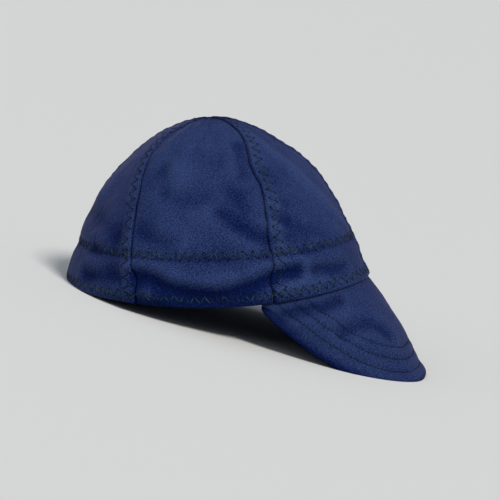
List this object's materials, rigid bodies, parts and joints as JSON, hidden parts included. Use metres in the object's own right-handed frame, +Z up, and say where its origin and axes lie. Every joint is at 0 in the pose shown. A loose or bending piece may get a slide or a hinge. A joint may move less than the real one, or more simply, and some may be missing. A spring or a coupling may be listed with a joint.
{
  "type": "welding cap",
  "caption": "Soft cotton welding cap with a round sewn crown, a head band and a short turned-down peak.",
  "frame": {"origin": "middle of the box round the cap, on the surface it rests on", "axes": "+X forward to the peak, +Y to the wearer's left, +Z up from the surface; the cap leans back on its rim and peak"},
  "size_m": [0.2566, 0.1696, 0.1353],
  "materials": {
    "crown": "navy cotton twill",
    "band": "navy cotton twill",
    "peak": "navy cotton twill"
  },
  "bodies": {
    "root": {"gore_front_left": "crown", "gore_side_left": "crown", "gore_back_left": "crown", "gore_back_right": "crown", "gore_side_right": "crown", "gore_front_right": "crown", "head_band": "band", "peak_top_ply": "peak", "peak_under_ply": "peak"}
  },
  "joints": []
}
